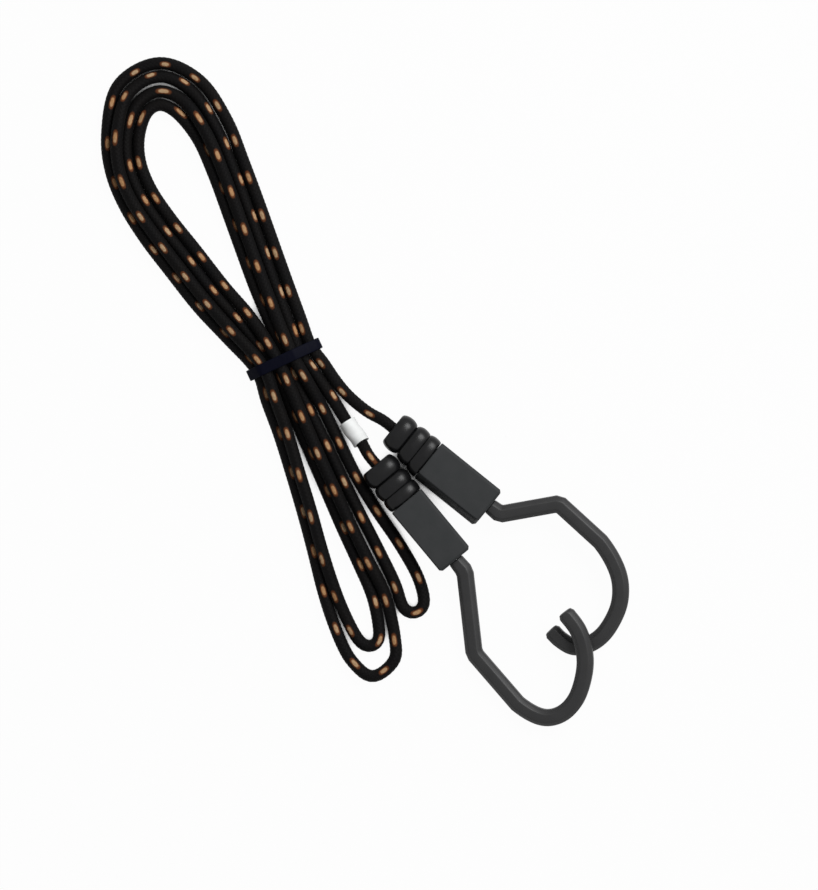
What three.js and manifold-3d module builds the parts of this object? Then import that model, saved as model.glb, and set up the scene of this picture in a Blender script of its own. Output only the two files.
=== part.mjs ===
// An elastic tie-down cord with a swivelling hook at each end, folded into a hank and tied.
// Millimetres, +Z up. The origin is the centre of the upper grip's flat underside.
import * as THREE from 'three';
import { mergeVertices } from 'three/addons/utils/BufferGeometryUtils.js';
import Module from 'manifold-3d';

const wasm = await Module();
wasm.setup();

// Clearances
const fitGap = 0.3;
const overrun = 1;

// How many sides the turned forms have, and how finely the cord's route is measured
const turnedSides = { bore: 16, chamber: 20, peg: 10, core: 12 };
const sampling = { lengths: 4000, tiePlaces: 3000, gapPlaces: 1500, strandDiameters: 3.4 };

// Elastic cord: a rubber core in a woven sheath
const cord = { diameter: 5.2, sides: 6, step: 7.5, bendPerStep: 0.3, leadSides: 10, leadStep: 11 };
cord.radius = cord.diameter / 2;

// Grip: a moulded box in two half shells, with a spigot that the sleeve is pushed onto
const grip = {
  length: 34.5, width: 17.2, height: 15.8, chamfer: 1.2, endChamfer: 1.1, widest: -3.5,
  spigotLength: 7, spigotRadius: 5.2,
  frontWall: 3, middleWall: 3.2, endWall: 4.6,
  chamberRadius: 5.9, pegRadius: 1, pegHeight: 2.2, pegAcross: 6.3,
};

// Ribbed sleeve of soft rubber at the cord's mouth
const sleeve = {
  length: 21.2, width: 17.8, height: 15.4, ribLengths: [8.4, 6.9, 5.9], grooveDepth: 1.7, mouthInset: 0.1,
  sides: 24, ringsPerRib: 6, squareness: 2.7,
};

// Crimped ferrule on the cord's end
const ferrule = { length: 11.5, wall: 1.3, lipHeight: 0.6, lipLength: 1.6 };

// Steel wire of the hook, its formed head and the washer that it turns against
const wire = { radius: 1.7, sides: 10, headRadius: 3.6, headLength: 2.4, tipCover: 4 };
const washer = { radius: 5.3, thickness: 1.2 };

// Moulded coating of the hook, a bevelled bar
const hook = { width: 7.6, height: 6.8, bevel: 1.9, neckWidth: 7, tipWidth: 6.6, bowlSteps: 14, leastStep: 1 };

// The lower grip lies beside the upper one, its sleeve just clear of the upper sleeve
const besideUpper = { bearing: -120.88, clearance: 7.6 };
besideUpper.distance = sleeve.width + besideUpper.clearance;
besideUpper.angle = THREE.MathUtils.degToRad(besideUpper.bearing);

// The two ends: where each grip lies, how it points, and the outline of its hook.
// Along and aside are counted from the grip's end face, on the side that hookSide gives. A grip
// that leans has its right-hand side wall slanted outwards by that much below its top edge.
const ends = {
  upper: {
    x: 0, y: 0, heading: -38.8, pitch: 0, roll: 8.6, hookSide: 1, lean: 2.8,
    neck: 5.8, cornerAlong: 23.4, cornerAside: 20.5, shoulderAlong: 48.5, shoulderAside: 18.9,
    reach: 75.8, bowlTurn: 27.2,
    bowlShares: [[0.826, 0.493], [0.917, 0.27], [0.975, -0.02], [1, -0.48], [0.97, -0.77], [0.91, -0.955],
      [0.823, -1], [0.74, -0.975]],
  },
  lower: {
    x: besideUpper.distance * Math.cos(besideUpper.angle), y: besideUpper.distance * Math.sin(besideUpper.angle),
    heading: -50.3, pitch: 0.2, roll: 11.5, hookSide: -1, lean: 0,
    neck: 6.6, cornerAlong: 37.7, cornerAside: 20.8, shoulderAlong: 67.5, shoulderAside: 20.2,
    reach: 83.6, bowlTurn: 23.3,
    bowlShares: [[0.955, 0.64], [1, 0.33], [0.988, -0.07], [0.905, -0.54], [0.824, -0.79], [0.712, -0.97],
      [0.586, -1]],
  },
};
const axisHeight = grip.height / 2;

// Tie round the waist, and the plain label round the lower stretch
const tie = { width: 5, thickness: 0.8, gap: 0.3, facets: 40, halfReach: 30 };
const label = { length: 12.6, radius: 4, sides: 12, fromMouth: 11.1 };

// The hank: the cord is doubled at its middle, and the doubled cord is folded to and fro.
// One guide runs midway between the two strands; one strand keeps to its right hand all the way.
const strandGap = 0.47;
const beside = (cord.diameter + strandGap) / 2;
const nested = 1.72;
const nestLift = Math.sqrt((2 * beside) ** 2 - (2 * nested) ** 2);
const loose = 2.2;
const looseLift = Math.sqrt((2 * beside) ** 2 - (2 * loose) ** 2);
const tieLift = tie.thickness + tie.gap + fitGap;
const open = 3;
const waistNest = tieLift + nestLift;
// Each station: x, y, half the distance between the strands, lift of the right strand, of the left one
const stations = [
  // up the right side, outermost
  [-69.6, 59.6, beside, tieLift, tieLift], [-74.2, 72, beside, 0.7, 0.7], [-80.8, 90, beside, 0, 0],
  [-86.9, 107.1, beside, 0, 0], [-92.9, 123.9, beside, 0, 0], [-100.2, 143.5, beside, 0, 0],
  [-107.6, 161.5, open, 0, 0],
  // over the top
  [-119.6, 178.9, open, 0, 0], [-135.3, 185.7, open, 0, 0], [-151.3, 177.1, open, 0, 1.4],
  // down the left side, outermost
  [-156.6, 155.8, 2.3, 0, nestLift], [-155.3, 140.3, 1.9, 0, nestLift], [-149.8, 126.2, 1.9, 0, nestLift],
  [-140.3, 111.3, loose, 0, looseLift], [-128.8, 96.2, loose, 0, looseLift],
  [-115.7, 79.6, loose, 0, looseLift], [-103.2, 65.9, 1.9, 0.5, nestLift + 0.5],
  [-89.5, 50.3, nested, tieLift, waistNest],
  // down to the long loop and round it
  [-85.3, 37.8, 2, 0.9, 5.2], [-79.6, 22.1, 1.9, 0, nestLift], [-74.2, 4.5, 1.8, 0, nestLift],
  [-68.8, -13.5, 1.9, 0, nestLift], [-64, -31.1, 2, 0, 4.2], [-59.8, -46.1, 2.5, 0, 2.8],
  [-55.2, -59.5, 3, 0, 0.5], [-49.3, -72.4, 3.7, 0, 0], [-46.1, -76.9, 4.4, 0, 0], [-40, -80.8, 6.6, 0, 0],
  [-34.1, -76.1, 4.8, 0, 0], [-32.8, -71.2, 3.6, 0, 0], [-33.3, -65.4, 3.2, 0, 0], [-36.6, -51, 2.8, 1.4, 0],
  // back up beside it
  [-43.7, -35.5, 2.3, 3.5, 0], [-51.1, -19.8, 2.1, 4, 0], [-58.3, -3.6, 1.9, 4.4, 0],
  [-65.7, 13.1, nested, nestLift, 0], [-72.9, 29.7, nested, nestLift + 0.4, 0.4],
  [-83.15, 53.27, nested, waistNest, tieLift],
  // up the left side, innermost
  [-95.9, 71.9, 2.7, 3, 0.5], [-108, 85.8, beside, 0, 0], [-121, 102.5, beside, 0, 0],
  [-132.8, 117.3, beside, 0, 0], [-141.8, 130.7, beside, 0, 0], [-146.7, 143, beside, 0, 0],
  // under the top
  [-147.5, 155.2, beside, 0, 0], [-143, 168.6, beside, 0, 0], [-135.4, 173.1, open, 0, 0],
  [-126.7, 169.5, open, 0, 1.4],
  // down the right side, innermost
  [-116.6, 156.6, 2.3, 0, nestLift], [-109.1, 140, loose, 0, looseLift], [-102, 120.7, loose, 0, looseLift],
  [-95.7, 103.2, loose, 0, looseLift], [-89.7, 87, loose, 0.2, looseLift + 0.2],
  [-76.8, 56.23, nested, tieLift, waistNest],
  // down to the short loop at the cord's middle
  [-71.1, 44.8, 2.4, 0.9, 4.2], [-64.5, 32.2, 2.9, 0, 0.8], [-56.9, 16.7, 2.9, 0, 0],
  [-49.2, 0.8, 3, 0, 0], [-40.7, -14.6, 3.7, 0, 0], [-31.8, -29.6, 4.8, 0, 0],
  [-23.7, -45.2, 5.4, 0, 0], [-21.2, -53.9, 5.3, 0, 0],
];

// The free stretches, from each grip's mouth back to the waist: x, y and the height of the axis
const upperStretch = [
  [-40.1, 30.6, 6.3], [-45.7, 34.7, 4.7], [-51.8, 40.3, 3.5], [-57.1, 47, 3], [-62, 54.4, 3.5],
];
const lowerStretch = [
  [-43.7, 17, 6.2], [-49.6, 25, 4.8], [-57.8, 38.2, 3.1], [-65.7, 49.5, 3.5],
];
const mouthRun = 6;

// Finishes
const sheathFinish = new THREE.MeshStandardMaterial({ color: 0x121113, roughness: 0.75 });
const coreFinish = new THREE.MeshStandardMaterial({ color: 0xb9a98b, roughness: 0.9 });
const gripFinish = new THREE.MeshStandardMaterial({ color: 0x2b2c2d, roughness: 0.6 });
const sleeveFinish = new THREE.MeshStandardMaterial({ color: 0x17171a, roughness: 0.4 });
const coatingFinish = new THREE.MeshStandardMaterial({ color: 0x232324, roughness: 0.45 });
const steelFinish = new THREE.MeshStandardMaterial({ color: 0xa8abb0, roughness: 0.35, metalness: 1 });
const tieFinish = new THREE.MeshStandardMaterial({ color: 0x101014, roughness: 0.35 });
const labelFinish = new THREE.MeshStandardMaterial({ color: 0xf2f2ef, roughness: 0.8 });

const object = new THREE.Group();

function addMesh(parent, name, geometry, material) {
  const mesh = new THREE.Mesh(geometry, material);
  mesh.name = name;
  parent.add(mesh);
}

// A three.js geometry as a solid that can be joined and cut, and back again
function toSolid(geometry) {
  const bare = geometry.clone();
  bare.deleteAttribute('normal');
  bare.deleteAttribute('uv');
  const merged = mergeVertices(bare, 1e-5);
  return new wasm.Manifold(new wasm.Mesh({
    numProp: 3,
    vertProperties: new Float32Array(merged.attributes.position.array),
    triVerts: new Uint32Array(merged.index.array),
  }));
}

function toGeometry(solid) {
  const mesh = solid.getMesh();
  const geometry = new THREE.BufferGeometry();
  geometry.setAttribute('position', new THREE.BufferAttribute(new Float32Array(mesh.vertProperties), 3));
  geometry.setIndex(new THREE.BufferAttribute(new Uint32Array(mesh.triVerts), 1));
  geometry.computeVertexNormals();
  return geometry;
}

// A closed skin over a row of rings that all have as many points, with a flat cap at each end
function loft(rings) {
  const sides = rings[0].length;
  const positions = rings.flat().flatMap((point) => point.toArray());
  const index = [];
  for (let ring = 0; ring + 1 < rings.length; ring += 1) {
    for (let side = 0; side < sides; side += 1) {
      const a = ring * sides + side;
      const b = ring * sides + (side + 1) % sides;
      index.push(a, b, b + sides, a, b + sides, a + sides);
    }
  }
  const last = (rings.length - 1) * sides;
  for (let side = 1; side + 1 < sides; side += 1) {
    index.push(0, side + 1, side);
    index.push(last, last + side, last + side + 1);
  }
  const geometry = new THREE.BufferGeometry();
  geometry.setAttribute('position', new THREE.Float32BufferAttribute(positions, 3));
  geometry.setIndex(index);
  geometry.computeVertexNormals();
  return geometry;
}

// A round bar along +X from one place to another
function roundBar(from, to, radius, sides) {
  const bar = new THREE.CylinderGeometry(radius, radius, to - from, sides);
  bar.rotateZ(-Math.PI / 2);
  bar.translate((from + to) / 2, 0, 0);
  return toSolid(bar);
}

// The frame that a grip, its sleeve and its hook share: +X along the grip, counted from the
// middle of the grip, +Y to its left
function endFrame(end) {
  const frame = new THREE.Group();
  frame.position.set(end.x, end.y, axisHeight);
  frame.rotation.set(0, THREE.MathUtils.degToRad(-end.pitch), THREE.MathUtils.degToRad(end.heading), 'ZYX');
  frame.position.z += Math.sin(THREE.MathUtils.degToRad(end.pitch)) * grip.length / 2;
  frame.updateMatrixWorld();
  return frame;
}

const gripStart = -grip.length / 2;
const gripEnd = grip.length / 2;
const mouth = gripStart - fitGap - sleeve.length;

function mouthPoint(end, before) {
  return endFrame(end).localToWorld(new THREE.Vector3(mouth - before, 0, 0));
}

// The cord's route

function strandPoints(side) {
  return stations.map(([x, y, half, rightLift, leftLift], place) => {
    const before = stations[Math.max(place - 1, 0)];
    const after = stations[Math.min(place + 1, stations.length - 1)];
    const run = new THREE.Vector2(after[0] - before[0], after[1] - before[1]).normalize();
    const lift = side > 0 ? rightLift : leftLift;
    return new THREE.Vector3(x + side * half * run.y, y - side * half * run.x, cord.radius + lift);
  });
}

// The half turn at the cord's middle, round the end of the guide
function middleTurn() {
  const [x, y, half] = stations.at(-1);
  const before = stations.at(-2);
  const run = new THREE.Vector2(x - before[0], y - before[1]).normalize();
  return [-60, -30, 0, 30, 60].map((degrees) => {
    const turn = THREE.MathUtils.degToRad(degrees);
    const along = half * Math.cos(turn);
    const across = half * Math.sin(turn);
    return new THREE.Vector3(x + run.x * along - run.y * across, y + run.y * along + run.x * across, cord.radius);
  });
}

function stretchPoints(end, stretch) {
  return [
    mouthPoint(end, fitGap), mouthPoint(end, mouthRun),
    ...stretch.map(([x, y, z]) => new THREE.Vector3(x, y, z)),
  ];
}

const routePoints = [
  ...stretchPoints(ends.upper, upperStretch),
  ...strandPoints(1),
  ...middleTurn(),
  ...strandPoints(-1).reverse(),
  ...stretchPoints(ends.lower, lowerStretch).reverse(),
];
const route = new THREE.CatmullRomCurve3(routePoints, false, 'centripetal');
route.arcLengthDivisions = sampling.lengths;
const routeLength = route.getLength();

// How far along the route its point with this number lies
function lengthAt(pointNumber) {
  const lengths = route.getLengths();
  return lengths[Math.round(pointNumber / (routePoints.length - 1) * route.arcLengthDivisions)];
}

const hankStart = lengthAt(upperStretch.length + 2) - tie.width;
const hankEnd = lengthAt(routePoints.length - 1 - (lowerStretch.length + 2)) + tie.width;

// A place on the route, never lower than the cord lies on a floor
function routePoint(place) {
  const point = route.getPointAt(place / routeLength);
  point.z = Math.max(point.z, cord.radius);
  return point;
}

// Places along the route, a step apart but nearer each other where it bends
function routePlaces(from, to, step) {
  const places = [from];
  let here = from;
  while (here < to - step) {
    const bend = route.getTangentAt(here / routeLength).angleTo(route.getTangentAt((here + step) / routeLength));
    here += step / Math.max(1, bend / cord.bendPerStep);
    places.push(here);
  }
  places.push(to);
  return places;
}

// Rings square to the route, their first point straight up from it
function cordTube(from, to, step, sides, radius) {
  return loft(routePlaces(from, to, step).map((place) => {
    const centre = routePoint(place);
    const run = route.getTangentAt(place / routeLength);
    const across = new THREE.Vector3(run.y, -run.x, 0).normalize();
    const up = new THREE.Vector3().crossVectors(across, run);
    return Array.from({ length: sides }, (_, side) => {
      const turn = side / sides * 2 * Math.PI;
      return centre.clone()
        .addScaledVector(up, radius * Math.cos(turn))
        .addScaledVector(across, radius * Math.sin(turn));
    });
  }));
}

// The least distance between the skins of two parts of the route that are not neighbours
function leastGap() {
  const count = sampling.gapPlaces;
  const skip = Math.ceil(count * sampling.strandDiameters * cord.diameter / routeLength);
  const centres = Array.from({ length: count + 1 }, (_, place) => routePoint(place / count * routeLength));
  let least = Infinity;
  let where = null;
  for (let i = 0; i < centres.length; i += 1) {
    for (let j = i + skip; j < centres.length; j += 1) {
      const gap = centres[i].distanceTo(centres[j]);
      if (gap < least) {
        least = gap;
        where = centres[i];
      }
    }
  }
  return [least - cord.diameter, where];
}

const [hankGap, hankGapPlace] = leastGap();
console.log(`cord length ${routeLength.toFixed(0)} mm, least gap to itself ${hankGap.toFixed(2)} mm`
  + ` at ${hankGapPlace.toArray().map((value) => value.toFixed(1))}`);

addMesh(object, 'cord_hank', cordTube(hankStart, hankEnd, cord.step, cord.sides, cord.radius), sheathFinish);
addMesh(object, 'cord_lead_upper',
  cordTube(0, hankStart - fitGap, cord.leadStep, cord.leadSides, cord.radius), sheathFinish);
addMesh(object, 'cord_lead_lower',
  cordTube(hankEnd + fitGap, routeLength, cord.leadStep, cord.leadSides, cord.radius), sheathFinish);

// The label: a short sleeve of tape round the lower stretch
const labelEnd = routeLength - label.fromMouth;
const labelStart = labelEnd - label.length;
const labelSkin = toSolid(cordTube(labelStart, labelEnd, label.length / 3, label.sides, label.radius));
const labelBore = toSolid(
  cordTube(labelStart - overrun, labelEnd + overrun, label.length / 3, label.sides, cord.radius + fitGap),
);
addMesh(object, 'label_band', toGeometry(labelSkin.subtract(labelBore)), labelFinish);

// The tie: a thin band drawn tight round every strand that lies within its width at the waist
function waistFrame() {
  const lanes = stations.filter(([, , , right, left]) => Math.min(right, left) === tieLift);
  const middle = new THREE.Vector2();
  lanes.forEach(([x, y]) => middle.add(new THREE.Vector2(x, y).divideScalar(lanes.length)));
  const across = new THREE.Vector2(lanes[0][0] - lanes[1][0], lanes[0][1] - lanes[1][1]).normalize();
  return { middle, across, along: new THREE.Vector2(across.y, -across.x) };
}

function tieOutline(strands, distance) {
  return Array.from({ length: tie.facets }, (_, facet) => {
    const turn = facet / tie.facets * 2 * Math.PI;
    const out = new THREE.Vector2(Math.cos(turn), Math.sin(turn));
    const furthest = strands.reduce((best, strand) => (strand.dot(out) > best.dot(out) ? strand : best));
    return furthest.clone().addScaledVector(out, distance);
  });
}

function makeTie() {
  const { middle, across, along } = waistFrame();
  const strands = route.getSpacedPoints(sampling.tiePlaces)
    .filter((point) => Math.abs((point.x - middle.x) * along.x + (point.y - middle.y) * along.y) < tie.width)
    .filter((point) => Math.hypot(point.x - middle.x, point.y - middle.y) < tie.halfReach)
    .map((point) => new THREE.Vector2(
      (point.x - middle.x) * across.x + (point.y - middle.y) * across.y, point.z,
    ));
  const band = new THREE.Shape(tieOutline(strands, cord.radius + tie.gap + tie.thickness));
  band.holes.push(new THREE.Path(tieOutline(strands, cord.radius + tie.gap)));
  const ring = new THREE.ExtrudeGeometry(band, { depth: tie.width, bevelEnabled: false });
  ring.translate(0, 0, -tie.width / 2);
  const back = new THREE.Vector3(across.x, across.y, 0).cross(new THREE.Vector3(0, 0, 1));
  ring.applyMatrix4(new THREE.Matrix4().makeBasis(
    new THREE.Vector3(across.x, across.y, 0), new THREE.Vector3(0, 0, 1), back,
  ));
  ring.translate(middle.x, middle.y, 0);
  return toGeometry(toSolid(ring));
}

addMesh(object, 'hank_tie', makeTie(), tieFinish);

// The grip's two shells

const ferruleFrom = gripStart + grip.frontWall;
const ferruleTo = ferruleFrom + ferrule.length + 2 * fitGap;
const headFrom = ferruleTo + grip.middleWall;
const headTo = gripEnd - grip.endWall;

// How far the right-hand side wall stands out at a height: most at the widest place, and not at
// all at the top and the bottom
function leanAt(end, up) {
  const full = grip.height / 2;
  const share = up > grip.widest ? (full - up) / (full - grip.widest) : (up + full) / (grip.widest + full);
  return end.lean * share;
}

// The box's section is bevelled along its long edges, and its far end is bevelled too
function gripSection(end, trim) {
  const half = grip.width / 2 - trim;
  const top = grip.height / 2 - trim;
  const bevel = grip.chamfer;
  const left = [[half, bevel - top], [half, top - bevel], [half - bevel, top]];
  const right = [
    [bevel / 3 - half, top], [-half, top - bevel], [-half, grip.widest], [-half, bevel - top],
    [bevel - half, -top],
  ].map(([across, up]) => [across - leanAt(end, up), up]);
  return [...left, ...right, [half - bevel, -top]];
}

function gripBox(end) {
  const rings = [
    [gripStart, 0], [gripEnd - grip.endChamfer, 0], [gripEnd, grip.endChamfer],
  ];
  return toSolid(loft(rings.map(([along, trim]) => (
    gripSection(end, trim).map(([across, up]) => new THREE.Vector3(along, across, up))
  ))));
}

function gripCavities() {
  return [
    roundBar(
      gripStart - grip.spigotLength - overrun, ferruleFrom + overrun, cord.radius + fitGap, turnedSides.bore,
    ),
    roundBar(ferruleFrom, ferruleTo, grip.chamberRadius, turnedSides.chamber),
    roundBar(headFrom, headTo, grip.chamberRadius, turnedSides.chamber),
    roundBar(headTo - overrun, gripEnd + overrun, wire.radius + fitGap, turnedSides.bore),
  ];
}

function pegAt(across, radius, bottom, top) {
  const peg = new THREE.CylinderGeometry(radius, radius, top - bottom, turnedSides.peg);
  peg.rotateX(Math.PI / 2);
  peg.translate((ferruleTo + headFrom) / 2, across, (top + bottom) / 2);
  return toSolid(peg);
}

// One half: everything of the box above or below the parting line
function gripShell(end, upward) {
  let shell = gripBox(end).add(
    roundBar(gripStart - grip.spigotLength, gripStart + overrun, grip.spigotRadius, turnedSides.chamber),
  );
  const cutHeight = grip.height;
  const away = new THREE.BoxGeometry(
    grip.length + grip.spigotLength * 2 + overrun, grip.width + 2 * end.lean + overrun, cutHeight,
  );
  away.translate(0, 0, -upward * (cutHeight / 2 - fitGap / 2));
  shell = shell.subtract(toSolid(away));
  gripCavities().forEach((cavity) => {
    shell = shell.subtract(cavity);
  });
  [grip.pegAcross, -grip.pegAcross].forEach((across) => {
    shell = upward > 0
      ? shell.subtract(pegAt(across, grip.pegRadius + fitGap, -overrun, grip.pegHeight + fitGap))
      : shell.add(pegAt(across, grip.pegRadius, -grip.pegRadius, grip.pegHeight));
  });
  return toGeometry(shell);
}

// The sleeve: rounded ribs with grooves between them, narrower at the mouth

function sleeveGeometry(end) {
  const rings = [];
  const ribStarts = [0];
  const allRibs = sleeve.ribLengths.reduce((sum, length) => sum + length, 0);
  sleeve.ribLengths.forEach((length) => ribStarts.push(ribStarts.at(-1) + length / allRibs));
  const steps = sleeve.ribLengths.length * sleeve.ringsPerRib;
  for (let step = 0; step <= steps; step += 1) {
    const rib = Math.min(Math.floor(step / sleeve.ringsPerRib), sleeve.ribLengths.length - 1);
    const within = step / sleeve.ringsPerRib - rib;
    const share = ribStarts[rib] + within * (ribStarts[rib + 1] - ribStarts[rib]);
    const swell = Math.abs(Math.sin(within * Math.PI));
    const inset = sleeve.grooveDepth * (1 - Math.sqrt(swell)) + sleeve.mouthInset * (1 - share) ** 3;
    const halfWidth = sleeve.width / 2 - inset;
    const halfHeight = sleeve.height / 2 - inset;
    rings.push(Array.from({ length: sleeve.sides }, (_, side) => {
      const turn = side / sleeve.sides * 2 * Math.PI;
      const power = 2 / sleeve.squareness;
      const across = Math.sign(Math.cos(turn)) * Math.abs(Math.cos(turn)) ** power;
      const up = Math.sign(Math.sin(turn)) * Math.abs(Math.sin(turn)) ** power;
      const standOut = across < 0 ? end.lean * share ** 2 : 0;
      return new THREE.Vector3(
        mouth + share * sleeve.length, (halfWidth + standOut) * across, halfHeight * up,
      );
    }));
  }
  return toGeometry(toSolid(loft(rings))
    .subtract(roundBar(mouth - overrun, gripStart, cord.radius + fitGap, turnedSides.bore))
    .subtract(roundBar(
      gripStart - grip.spigotLength - fitGap, gripStart, grip.spigotRadius + fitGap, turnedSides.chamber,
    )));
}

// The cord's end, the ferrule crimped on it, the wire's head and the washer

const coreEnd = ferruleFrom + fitGap + ferrule.length - ferrule.wall;

function ferruleGeometry() {
  const from = ferruleFrom + fitGap;
  const to = from + ferrule.length;
  const outer = cord.radius + fitGap + ferrule.wall;
  return toGeometry(roundBar(from, to, outer, turnedSides.bore)
    .add(roundBar(from, from + ferrule.lipLength, outer + ferrule.lipHeight, turnedSides.bore))
    .subtract(roundBar(from - overrun, coreEnd + fitGap, cord.radius + fitGap, turnedSides.core)));
}

function washerGeometry() {
  const to = headTo - fitGap;
  return toGeometry(roundBar(to - washer.thickness, to, washer.radius, turnedSides.chamber)
    .subtract(roundBar(
      to - washer.thickness - overrun, to + overrun, wire.radius + fitGap, turnedSides.bore,
    )));
}

// The hook

// Takes a length off a path's far end
function cutBack(path, cut) {
  let left = cut;
  while (path.at(-1).distanceTo(path.at(-2)) <= left + hook.leastStep) {
    left -= path.at(-1).distanceTo(path.at(-2));
    path.pop();
  }
  const tip = path.at(-1);
  tip.addScaledVector(path.at(-2).clone().sub(tip).normalize(), left);
}

// A spline round the bowl, whose places are shares of the hook's reach and of its turn
function hookPath(end, tipCut) {
  const side = end.hookSide;
  const points = [
    [fitGap, 0], [end.neck, 0], [end.cornerAlong, side * end.cornerAside],
    [end.shoulderAlong, side * end.shoulderAside],
  ].map(([along, aside]) => new THREE.Vector3(along, aside, 0));
  const bowl = new THREE.CatmullRomCurve3([
    points[2], points[3],
    ...end.bowlShares.map(([along, aside]) => (
      new THREE.Vector3(along * end.reach, side * aside * end.bowlTurn, 0)
    )),
  ], false, 'centripetal');
  const shoulder = bowl.getUtoTmapping(0) + 1 / (end.bowlShares.length + 1);
  for (let step = 1; step <= hook.bowlSteps; step += 1) {
    points.push(bowl.getPoint(shoulder + (1 - shoulder) * step / hook.bowlSteps));
  }
  cutBack(points, tipCut);
  points.forEach((point) => {
    point.x += gripEnd;
  });
  return points;
}

// A bar along a flat path, mitred at each point of it
function mitredBar(path, sectionAt) {
  return loft(path.map((point, place) => {
    const arrive = point.clone().sub(path[Math.max(place - 1, 0)]).normalize();
    const leave = path[Math.min(place + 1, path.length - 1)].clone().sub(point).normalize();
    const run = arrive.clone().add(leave).normalize();
    const stretch = 1 / Math.max(run.dot(leave), run.dot(arrive));
    const across = new THREE.Vector3(-run.y, run.x, 0).multiplyScalar(stretch);
    return sectionAt(place / (path.length - 1)).map(([aside, up]) => (
      point.clone().addScaledVector(across, aside).add(new THREE.Vector3(0, 0, up))
    ));
  }));
}

function barSection(width) {
  const half = width / 2;
  const top = hook.height / 2;
  const bevel = hook.bevel;
  return [
    [half, top - bevel], [half - bevel, top], [bevel - half, top], [-half, top - bevel],
    [-half, bevel - top], [bevel - half, -top], [half - bevel, -top], [half, bevel - top],
  ];
}

function wireSection(radius) {
  return Array.from({ length: wire.sides }, (_, side) => {
    const turn = side / wire.sides * 2 * Math.PI;
    return [radius * Math.cos(turn), radius * Math.sin(turn)];
  });
}

function coatingGeometry(end) {
  const skin = toSolid(mitredBar(hookPath(end, 0), (share) => {
    if (share === 0) {
      return barSection(hook.neckWidth);
    }
    return barSection(share === 1 ? hook.tipWidth : hook.width);
  }));
  const borePath = hookPath(end, wire.tipCover - fitGap);
  borePath[0].x -= overrun;
  return toGeometry(skin.subtract(toSolid(mitredBar(borePath, () => wireSection(wire.radius + fitGap)))));
}

function wireGeometry(end) {
  const path = hookPath(end, wire.tipCover);
  const headBack = headTo - washer.thickness - 2 * fitGap;
  path[0].x = headBack - overrun;
  return toGeometry(toSolid(mitredBar(path, () => wireSection(wire.radius)))
    .add(roundBar(headBack - wire.headLength, headBack, wire.headRadius, turnedSides.bore)));
}

for (const [name, end] of Object.entries(ends)) {
  const frame = endFrame(end);
  object.add(frame);
  const coreBar = roundBar(mouth, coreEnd, cord.radius, turnedSides.core);
  addMesh(frame, `cord_core_${name}`, toGeometry(coreBar), coreFinish);
  addMesh(frame, `crimp_ferrule_${name}`, ferruleGeometry(), steelFinish);
  addMesh(frame, `ribbed_sleeve_${name}`, sleeveGeometry(end), sleeveFinish);
  addMesh(frame, `grip_shell_top_${name}`, gripShell(end, 1), gripFinish);
  addMesh(frame, `grip_shell_bottom_${name}`, gripShell(end, -1), gripFinish);
  addMesh(frame, `swivel_washer_${name}`, washerGeometry(), steelFinish);
  const turned = new THREE.Group();
  turned.rotation.x = THREE.MathUtils.degToRad(end.roll);
  frame.add(turned);
  addMesh(turned, `hook_wire_${name}`, wireGeometry(end), steelFinish);
  addMesh(turned, `hook_coating_${name}`, coatingGeometry(end), coatingFinish);
}

export default object;
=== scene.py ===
import bpy
import numpy as np
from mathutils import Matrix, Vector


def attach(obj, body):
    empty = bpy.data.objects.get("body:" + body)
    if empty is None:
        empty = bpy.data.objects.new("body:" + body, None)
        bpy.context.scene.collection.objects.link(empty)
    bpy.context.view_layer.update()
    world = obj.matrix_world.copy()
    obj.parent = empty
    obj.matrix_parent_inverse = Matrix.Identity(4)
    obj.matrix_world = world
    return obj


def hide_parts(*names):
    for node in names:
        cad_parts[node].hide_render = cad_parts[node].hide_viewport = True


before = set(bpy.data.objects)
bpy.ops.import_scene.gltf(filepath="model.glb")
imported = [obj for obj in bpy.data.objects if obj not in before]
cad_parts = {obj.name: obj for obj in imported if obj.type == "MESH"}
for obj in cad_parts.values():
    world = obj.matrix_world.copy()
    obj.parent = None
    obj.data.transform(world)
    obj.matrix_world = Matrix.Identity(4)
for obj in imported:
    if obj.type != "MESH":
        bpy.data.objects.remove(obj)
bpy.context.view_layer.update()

# The view: straight down on the folded cord, through a long lens that stands well above it.
# The frame is 818 by 890 pixels, and a pixel covers 0.45 mm at the height of the cord.
mm = 0.001
pixel = 0.45 * mm
frame_pixels = np.array([818, 890])
origin_pixel = np.array([460, 482])
lens_height = 3.2
cord_height = 4 * mm

lens = bpy.data.cameras.new("long_lens")
lens.sensor_fit = "HORIZONTAL"
lens.lens = lens.sensor_width * (lens_height - cord_height) / (frame_pixels[0] * pixel)
lens.clip_end = 10
camera = bpy.data.objects.new("camera", lens)
camera.location = [*((frame_pixels / 2 - origin_pixel) * [pixel, -pixel]), lens_height]
bpy.context.scene.collection.objects.link(camera)
bpy.context.scene.camera = camera

# The cord: one strand of rubber threads in a black woven sheath with orange flecks, 2.155 m from
# sleeve to sleeve. It is doubled at its middle, and the doubled cord is folded to and fro in a
# hank, which a tie holds at its waist.
cord_diameter = 5.2 * mm
cord_radius = cord_diameter / 2
fit_gap = 0.3 * mm
tie_thickness = 0.8 * mm
tie_gap = 0.3 * mm
strand_gap = 0.47 * mm

# Half the distance between the two strands where they lie side by side, and where one nests on
# the other, closely or loosely, with the lift that this gives it. All are in millimetres, as the
# stations are.
beside = (cord_diameter + strand_gap) / mm / 2
nested = 1.72
nest_lift = np.sqrt((2 * beside) ** 2 - (2 * nested) ** 2)
loose = 2.2
loose_lift = np.sqrt((2 * beside) ** 2 - (2 * loose) ** 2)
tie_lift = (tie_thickness + tie_gap + fit_gap) / mm
apart = 3
waist_nest = tie_lift + nest_lift

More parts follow.
